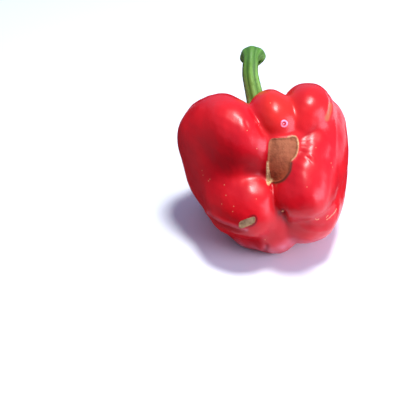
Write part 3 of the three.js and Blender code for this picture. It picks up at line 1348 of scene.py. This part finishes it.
# ------------------------------------------------------------------------------ calyx and stem
@dataclass(frozen=True)
class Seat:
    """The stem's seat in the cavity at the stem end, in the fruit's frame and millimetres."""

    lobes: Lobes
    middle: Place = (0.0, 21.4, -14.4)
    facing: Place = (0.0, 0.88, -0.47)
    drape_soft: float = 1.8
    clear: float = 30.0
    hub_radius: float = 5.0
    hub_rise: float = 1.35
    hub_looks: int = 24

    def axes(self) -> tuple[np.ndarray, np.ndarray, np.ndarray]:
        """Return the seat's side, other and upward directions."""
        up = np.array(self.facing) / np.linalg.norm(self.facing)
        side = np.array([1.0, 0.0, 0.0])
        return side, np.cross(up, side), up

    def over(self, across: np.ndarray, along: np.ndarray, height: np.ndarray) -> np.ndarray:
        """Return points given by offsets over the seat plane.

        Args:
            across: Offsets to the side.
            along: Offsets in the other direction.
            height: Heights over the plane.

        Returns:
            Positions in the fruit's frame.
        """
        side, other, up = self.axes()
        return (
            np.array(self.middle) + across[:, None] * side + along[:, None] * other
            + height[:, None] * up
        )

    def skin_height(self, across: np.ndarray, along: np.ndarray) -> np.ndarray:
        """Return how high the draped skin stands over the seat plane.

        Args:
            across: Offsets to the side.
            along: Offsets in the other direction.

        Returns:
            Heights in millimetres.
        """
        start = self.over(across, along, np.full(len(across), self.clear))
        down = np.tile(-self.axes()[2], (len(across), 1))
        return self.clear - self.lobes.march(start, down, self.drape_soft)

    def hub_height(self) -> float:
        """Return the height of the calyx's hub over the seat plane."""
        angle = turns(self.hub_looks)
        ring = self.skin_height(self.hub_radius * np.cos(angle), self.hub_radius * np.sin(angle))
        return float(ring.max()) + self.hub_rise


@dataclass
class Calyx:
    """The green cap around the foot of the stem, with its pointed lobes draped on the skin.

    Lengths are in millimetres; ring_ends and edge_rings are shares of the way to its edge.
    """

    seat: Seat
    finish: GreenFinish = GreenFinish("green_calyx", roughness=0.55)
    radius: float = 8.2
    points: int = 6
    point_turn: float = 0.5
    point_reach: float = 2.0
    point_sharpness: float = 1.5
    point_back: float = 0.3
    hub_rise: float = 0.35
    hub_slope: Band = (3.8, 7.8)
    thickness: float = 0.75
    least: float = 0.5
    sunk: float = 0.15
    vein: float = 0.25
    vein_reach: Band = (5.0, 7.0)
    rings: int = 22
    ring_ends: Band = (0.06, 0.9)
    edge_rings: tuple[float, ...] = (0.95, 0.985, 1.0)
    edge_roundness: int = 12
    hub_ridge: float = 0.55
    edge_ridge: float = 0.3
    fibre_length: float = 6.0
    columns: int = 144

    def _height(self, reach: np.ndarray, angle: np.ndarray) -> tuple[np.ndarray, np.ndarray]:
        """Return the heights of the calyx's upper and under side.

        Args:
            reach: Distances from the middle.
            angle: Angles around it.

        Returns:
            The upper and the lower heights over the seat plane.
        """
        skin = self.seat.skin_height(reach * np.cos(angle), reach * np.sin(angle))
        hub = self.seat.hub_height() + self.hub_rise
        share = 1.0 - smooth_step(reach, *self.hub_slope)
        vein = self.vein * np.cos(self.points * angle + self.point_turn) ** 2
        vein *= smooth_step(reach, *self.vein_reach)
        upper = (1.0 - share) * (skin + self.thickness + vein) + share * hub
        return np.maximum(upper, skin + self.least), skin - self.sunk

    def build(self, place: FruitFrame) -> bpy.types.Object:
        """Make and dress the calyx.

        Args:
            place: The frame that the fruit was seated with.

        Returns:
            The piece.
        """
        angle = turns(self.columns)
        lobe = 0.5 + 0.5 * np.cos(self.points * angle + self.point_turn)
        edge = self.radius + self.point_reach * (lobe**self.point_sharpness - self.point_back)
        shares = np.concatenate([np.linspace(*self.ring_ends, self.rings), self.edge_rings])
        rows: list[np.ndarray] = []
        ridge: list[np.ndarray] = []
        for top in (True, False):
            for share in shares if top else shares[::-1]:
                reach = share * edge
                upper, lower = self._height(reach, angle)
                rim = 0.5 * (1.0 - math.sqrt(max(0.0, 1.0 - share**self.edge_roundness)))
                height = upper + (lower - upper) * (rim if top else 1.0 - rim)
                rows.append(self.seat.over(reach * np.cos(angle), reach * np.sin(angle), height))
                ridge.append(self.hub_ridge + self.edge_ridge * lobe * share)
        grid, values = np.concatenate(rows), np.concatenate(ridge)
        faces = tube_faces(len(rows), self.columns, flipped=True)
        piece = add_piece(
            "pepper_calyx", place.placed(grid), faces,
            {
                Mark.RIDGE_AND_LIGHT: values,
                Mark.DRY: 0.0 * values,
                Mark.FIBRE: fibre_marks(np.tile(angle, len(rows)), grid[:, 1] / self.fibre_length),
            },
        )
        piece.data.materials.append(self.finish.build())
        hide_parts("calyx")
        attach(piece, BODY)
        LOG.info("calyx: %d faces", len(faces))
        return piece


@dataclass
class Stem:
    """The ridged stem, bent back at its top and flared where it was cut from the plant.

    Lengths are in millimetres and the crests are angles in degrees around it; neck_from, flare,
    rim, top and speck_band are shares of its length. The values in ridge and dry choose the
    greens and the brown of its finish; the ridge values also hold painted light, lighter toward
    the foot and darker toward the top.
    """

    seat: Seat
    finish: GreenFinish = GreenFinish("green_stem")
    path: tuple[Place, ...] = (
        (-1.7, 34.0, -19.0), (-3.3, 41.0, -17.6), (-4.9, 48.5, -15.8), (-4.8, 54.6, -15.6),
        (-4.3, 58.7, -18.6), (-3.6, 58.4, -22.8),
    )
    sunk: float = 0.6
    upright: float = 2.9
    path_steps: int = 40
    foot: float = 5.0
    neck: float = 4.0
    neck_from: float = 0.7
    tip: float = 6.2
    flare: Band = (0.80, 0.97)
    oval: float = 0.86
    knob: float = 0.20
    knob_turn: float = 0.1
    knob_width: float = 0.9
    crests: tuple[float, ...] = (-88.0, -140.0, -38.0, 8.0, 62.0, 115.0, 168.0)
    crest_width: float = 21.0
    crest_mean: float = 0.6
    relief: float = 0.34
    rim: Band = (0.955, 1.0)
    rim_inward: float = 0.08
    rim_dry: float = 0.9
    top: Band = (0.55, 0.85)
    top_crest_loss: float = 0.78
    top_ridge: float = 0.07
    painted_foot_light: float = 0.9
    speck_dry: float = 0.32
    speck_width: float = 0.9
    speck_band: Band = (0.82, 0.92)
    cut_rings: tuple[float, ...] = (0.86, 0.78, 0.62, 0.45, 0.28, 0.12)
    cut_wave: float = 0.15
    cut_pace: float = 1.7
    cut_steps: int = 2
    cut_sunk: float = 0.25
    cut_crest: float = 0.4
    cut_dry: float = 0.75
    fibre_run: float = 5.785714
    ripple: Swell = Swell(0.05, 2.2, 17)
    ripple_heading: Place = (0.6, 0.5, 0.6)
    rows: int = 130
    columns: int = 120

    def _centres(self, shares: np.ndarray) -> np.ndarray:
        """Return points at even shares along a smooth curve through the path.

        Args:
            shares: Shares of the stem's length.

        Returns:
            Positions in the fruit's frame.
        """
        up = self.seat.axes()[2]
        base = np.array(self.seat.middle) + up * (self.seat.hub_height() - self.sunk)
        knots = np.array([base, base + self.upright * up, *self.path])
        knots = np.concatenate([[2 * knots[0] - knots[1]], knots, [2 * knots[-1] - knots[-2]]])
        steps = np.linspace(0.0, 1.0, self.path_steps, endpoint=False)
        spans = zip(knots, knots[1:], knots[2:], knots[3:])
        line = np.array([bend(*span, step) for span in spans for step in steps] + [knots[-2]])
        walked = np.concatenate([[0.0], np.cumsum(np.linalg.norm(np.diff(line, axis=0), axis=1))])
        at = shares * walked[-1]
        return np.stack([np.interp(at, walked, line[:, c]) for c in range(3)], axis=1)

    def _radius(self, share: float) -> tuple[np.ndarray, np.ndarray]:
        """Return the radius around the stem at a share of its length, and the ridge pattern.

        Args:
            share: Share of the stem's length.

        Returns:
            The radius in millimetres and the ridge pattern, for each column.
        """
        angle = turns(self.columns)
        gaps = [np.degrees(wrapped(angle - math.radians(middle))) for middle in self.crests]
        crest = np.max([bell(gap, self.crest_width) for gap in gaps], axis=0)
        swell = smooth_step(share, *self.flare)
        body = self.foot + (self.neck - self.foot) * min(1.0, share / self.neck_from)
        body += (self.tip - self.neck) * swell
        knob = self.knob * swell * bell(wrapped(angle + self.knob_turn), self.knob_width)
        return body * (1.0 + knob) + self.relief * (crest - self.crest_mean), crest

    def _ring(
        self, centre: np.ndarray, ahead: np.ndarray, radius: np.ndarray, oval: float
    ) -> np.ndarray:
        """Return one ring of points around a centre.

        Args:
            centre: Middle of the ring.
            ahead: Direction of the stem there.
            radius: Radius at each column.
            oval: Height of the ring to its width.

        Returns:
            Positions in the fruit's frame.
        """
        side = np.array([1.0, 0.0, 0.0]) - ahead * ahead[0]
        side /= np.linalg.norm(side)
        angle = turns(self.columns)
        across = (radius * np.cos(angle))[:, None] * side
        return centre + across + (oval * radius * np.sin(angle))[:, None] * np.cross(ahead, side)

    def build(self, place: FruitFrame) -> bpy.types.Object:
        """Make and dress the stem.

        Args:
            place: The frame that the fruit was seated with.

        Returns:
            The piece.
        """
        shares = np.linspace(0.0, 1.0, self.rows)
        centres = self._centres(shares)
        headings = unit(np.gradient(centres, axis=0))
        angle = turns(self.columns)
        rings: list[np.ndarray] = []
        ridge: list[np.ndarray] = []
        dry: list[np.ndarray] = []
        for share, centre, ahead in zip(shares, centres, headings):
            radius, crest = self._radius(share)
            rim = smooth_step(share, *self.rim)
            oval = 1.0 + (self.oval - 1.0) * smooth_step(share, *self.flare)
            rings.append(self._ring(centre, ahead, radius * (1.0 - self.rim_inward * rim), oval))
            top = smooth_step(share, *self.top)
            # painted light: the ridge value is raised toward the foot and lowered toward the top,
            # so the stem is painted lighter at the foot and darker at the top
            pale = self.painted_foot_light * (0.5 - share) * (1.0 - top) + self.top_ridge * top
            ridge.append(crest * (1.0 - self.top_crest_loss * top) + pale)
            specks = self.speck_dry * bell(wrapped(angle), self.speck_width)
            specks *= smooth_step(share, *self.speck_band)
            dry.append(np.maximum(self.rim_dry * rim, specks))
        last, crest = self._radius(1.0)
        for k, inward in enumerate(self.cut_rings):
            sink = self.cut_wave * math.sin(k * self.cut_pace)
            sink -= self.cut_sunk * min(k, self.cut_steps)
            middle = centres[-1] + headings[-1] * sink
            rings.append(self._ring(middle, headings[-1], last * inward, self.oval))
            ridge.append(crest * self.cut_crest)
            dry.append(np.full(self.columns, self.cut_dry))
        grid = np.concatenate(rings)
        grid += self.ripple.at(grid)[:, None] * np.array(self.ripple_heading)
        run = np.repeat(np.linspace(0.0, self.fibre_run, len(rings)), self.columns)
        faces = tube_faces(len(rings), self.columns)
        piece = add_piece(
            "pepper_stem", place.placed(grid), faces,
            {
                Mark.RIDGE_AND_LIGHT: np.concatenate(ridge),
                Mark.DRY: np.concatenate(dry),
                Mark.FIBRE: fibre_marks(np.tile(angle, len(rings)), run),
            },
        )
        piece.data.materials.append(self.finish.build())
        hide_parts("stem")
        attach(piece, BODY)
        LOG.info("stem: %d faces", len(faces))
        return piece


# ------------------------------------------------------------------------------ the studio
@dataclass(frozen=True)
class Lamp:
    """A soft square lamp that is turned to the fruit."""

    name: str
    position: Place
    size: float
    power: float
    color: Color = (1.0, 1.0, 1.0)
    target: Place = (0.0, -0.01, 0.04)

    def build(self) -> bpy.types.Object:
        """Hang the lamp and return it."""
        light = bpy.data.lights.new(self.name, "AREA")
        light.size, light.energy, light.color = self.size, self.power, self.color
        lamp = bpy.data.objects.new(self.name, light)
        bpy.context.scene.collection.objects.link(lamp)
        lamp.location = self.position
        aim = Vector(self.target) - Vector(self.position)
        lamp.rotation_euler = aim.to_track_quat("-Z", "Y").to_euler()
        return lamp


@dataclass(frozen=True)
class Card:
    """An upright card on the table, from one end of its foot to the other, in metres."""

    name: str
    start: Spot
    end: Spot
    top: float
    shades: bool = False

    def corners(self, foot: float) -> list[Place]:
        """Return the corners of the card, whose foot stays a little over the table."""
        (x0, y0), (x1, y1) = self.start, self.end
        return [(x0, y0, foot), (x1, y1, foot), (x1, y1, self.top), (x0, y0, self.top)]


@dataclass
class Studio:
    """White table, soft lamps, red cards, a red sheet of painted shade under the fruit, even
    surroundings and the camera; in metres.
    """

    table: TableFinish = TableFinish()
    table_size: float = 6.0
    lamps: tuple[Lamp, ...] = (
        Lamp("overhead_softbox", (0.10, 0.0, 0.97), 0.20, 8.6),
        Lamp("side_window", (0.70, -0.38, 0.32), 0.56, 6.6, (0.84, 0.79, 1.0)),
    )
    air: Color = (0.52, 0.62, 0.96)
    air_strength: float = 0.55
    cards: tuple[Card, ...] = (
        Card("left_card", (-0.058, -0.040), (-0.058, 0.068), 0.085),
        Card("right_card", (0.062, -0.02), (0.062, 0.068), 0.043),
        Card("back_card", (-0.054, 0.068), (0.062, 0.068), 0.07),
        Card("front_card", (-0.15, -0.062), (0.01, -0.115), 0.085, True),
        Card("corner_card", (-0.051, -0.020), (-0.022, -0.062), 0.07),
        Card("near_card", (0.012, -0.115), (0.075, -0.098), 0.085),
    )
    # a dark red sheet under the fruit, seen only in reflections: painted shade of the floor there
    shade_sheet: Outline = (
        (-0.075, -0.050), (-0.012, -0.046), (0.003, -0.035), (0.014, -0.018), (-0.04, 0.03),
        (-0.075, 0.03),
    )
    shade_sheet_height: float = 0.0008
    card_foot: float = 0.001
    card_color: Color = (0.18, 0.01, 0.016)
    card_roughness: float = 0.9
    elevation: float = math.radians(35.0)
    distance: float = 0.42
    field_width: float = 0.20
    sensor_width: float = 36.0
    nearest: float = 0.01
    aim_off: Spot = (-0.031, -0.0165)

    def _table(self) -> None:
        """Lay the table."""
        half = self.table_size / 2.0
        corners = [(-half, -half, 0.0), (half, -half, 0.0), (half, half, 0.0), (-half, half, 0.0)]
        table = add_sheet("table", corners, self.table.build())

    def _cards(self) -> None:
        """Lay the red sheet of painted shade under the fruit and stand the red cards that are
        mirrored in the waxy skin.
        """
        bench = NodeBench("red_card")
        bench.set("Base Color", self.card_color)
        bench.set("Roughness", self.card_roughness)
        # the floor sheet paints shade under the fruit in reflections only
        sheets = [("floor_shade_sheet", [(x, y, self.shade_sheet_height) for x, y in self.shade_sheet], False)]
        sheets += [(card.name, card.corners(self.card_foot), card.shades) for card in self.cards]
        for name, corners, shades in sheets:
            sheet = add_sheet(name, corners, bench.material)
            sheet.visible_camera = False
            sheet.visible_shadow = False
            sheet.visible_diffuse = shades

    def _air(self) -> None:
        """Set the even light of the surroundings."""
        world = bpy.data.worlds.new("soft_room")
        world.use_nodes = True
        background = world.node_tree.nodes["Background"]
        background.inputs["Color"].default_value = (*self.air, 1.0)
        background.inputs["Strength"].default_value = self.air_strength
        bpy.context.scene.world = world

    def _camera(self, place: FruitFrame) -> None:
        """Set the camera square to the blossom face.

        Args:
            place: The frame that the fruit was seated with.
        """
        lens = bpy.data.cameras.new("camera")
        lens.sensor_width = self.sensor_width
        lens.lens = self.sensor_width * self.distance / self.field_width
        lens.clip_start = self.nearest
        camera = bpy.data.objects.new("camera", lens)
        bpy.context.scene.collection.objects.link(camera)
        right = Vector((1.0, 0.0, 0.0))
        up = Vector((0.0, math.sin(self.elevation), math.cos(self.elevation)))
        toward = right.cross(up)
        heart = Vector(place.placed(np.zeros((1, 3)))[0])
        camera.location = (
            heart + toward * self.distance + right * self.aim_off[0] + up * self.aim_off[1]
        )
        camera.rotation_euler = Matrix((right, up, toward)).transposed().to_euler()
        bpy.context.scene.camera = camera

    def build(self, place: FruitFrame) -> None:
        """Set up everything around the fruit.

        Args:
            place: The frame that the fruit was seated with.
        """
        self._table()
        self._cards()
        self._air()
        for lamp in self.lamps:
            lamp.build()
        self._camera(place)
        bpy.context.scene.view_settings.view_transform = "Standard"
        LOG.info("studio: %d lamps", len(self.lamps))


def main() -> None:
    """Build the pepper piece by piece, then its studio."""
    logging.basicConfig(level=logging.INFO, format="%(name)s %(message)s")
    lobes = Lobes()
    flesh, place = Flesh(lobes).build()
    seat = Seat(lobes)
    calyx = Calyx(seat).build(place)
    stem = Stem(seat).build(place)
    Studio().build(place)
    LOG.info("pieces: %s", ", ".join(piece.name for piece in (flesh, calyx, stem)))


if __name__ == "__main__":
    main()
